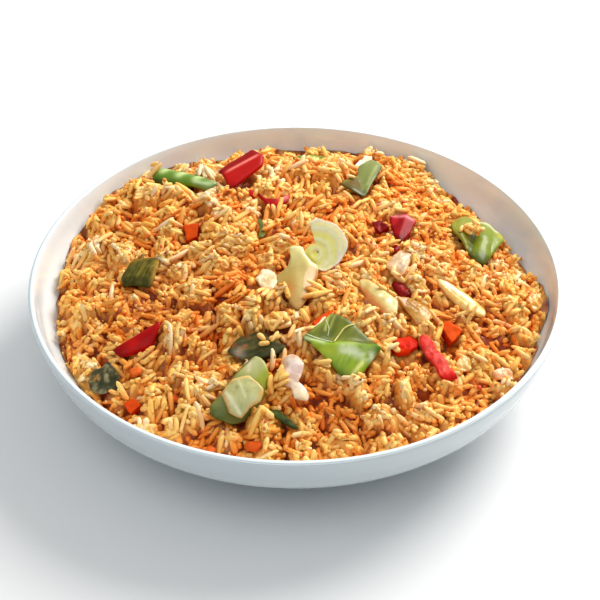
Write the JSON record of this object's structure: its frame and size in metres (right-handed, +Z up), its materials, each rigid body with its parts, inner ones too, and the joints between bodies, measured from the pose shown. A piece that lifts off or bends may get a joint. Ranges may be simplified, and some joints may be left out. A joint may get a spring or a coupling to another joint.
{
  "type": "bowl of fried rice",
  "caption": "Chilli garlic fried rice with green and red pepper, carrot, cabbage and onion, heaped in a shallow white porcelain bowl on a foot ring",
  "frame": {"origin": "centre of the foot ring's underside, where the bowl stands", "axes": "+Z up along the bowl's axis, -Y the front as served, +X to the right"},
  "size_m": [0.2398, 0.2398, 0.0737],
  "materials": {
    "porcelain": "glossy white glaze",
    "fried_rice": "oily cooked grains, orange to pale yellow",
    "green_pepper": "glossy cooked skin",
    "dark_greens": "soft matte leaf",
    "red_pepper": "glossy cooked skin",
    "carrot": "moist cut face",
    "cabbage": "moist pale leaf",
    "onion": "moist translucent slice"
  },
  "bodies": {
    "root": {"bowl": "porcelain", "rice": "fried_rice", "green_pepper_ribbed": "green_pepper", "green_pepper_olive": "green_pepper", "green_pepper_folded": "green_pepper", "green_pepper_back": "green_pepper", "green_pepper_crest": "green_pepper", "green_pepper_front": "green_pepper", "green_pepper_shaded": "dark_greens", "green_pepper_far_sliver": "green_pepper", "green_pepper_shred": "green_pepper", "green_pepper_low_sliver": "dark_greens", "dark_leaf": "dark_greens", "red_pepper_wedge": "red_pepper", "red_pepper_curl": "red_pepper", "red_pepper_dark": "red_pepper", "red_pepper_corner": "red_pepper", "red_pepper_flake": "red_pepper", "red_pepper_left": "red_pepper", "red_pepper_strip": "red_pepper", "red_pepper_stub": "carrot", "carrot_1": "carrot", "carrot_2": "carrot", "carrot_3": "carrot", "carrot_4": "carrot", "cabbage_roll": "cabbage", "cabbage_rib": "cabbage", "cabbage_scrap": "cabbage", "cabbage_right": "cabbage", "cabbage_far": "cabbage", "onion_slice_1": "onion", "onion_slice_2": "onion", "onion_slice_3": "onion", "onion_petal": "onion", "onion_on_pepper": "onion", "onion_edge": "onion", "onion_bit_1": "onion", "onion_bit_2": "onion", "onion_bit_3": "onion"}
  },
  "joints": []
}
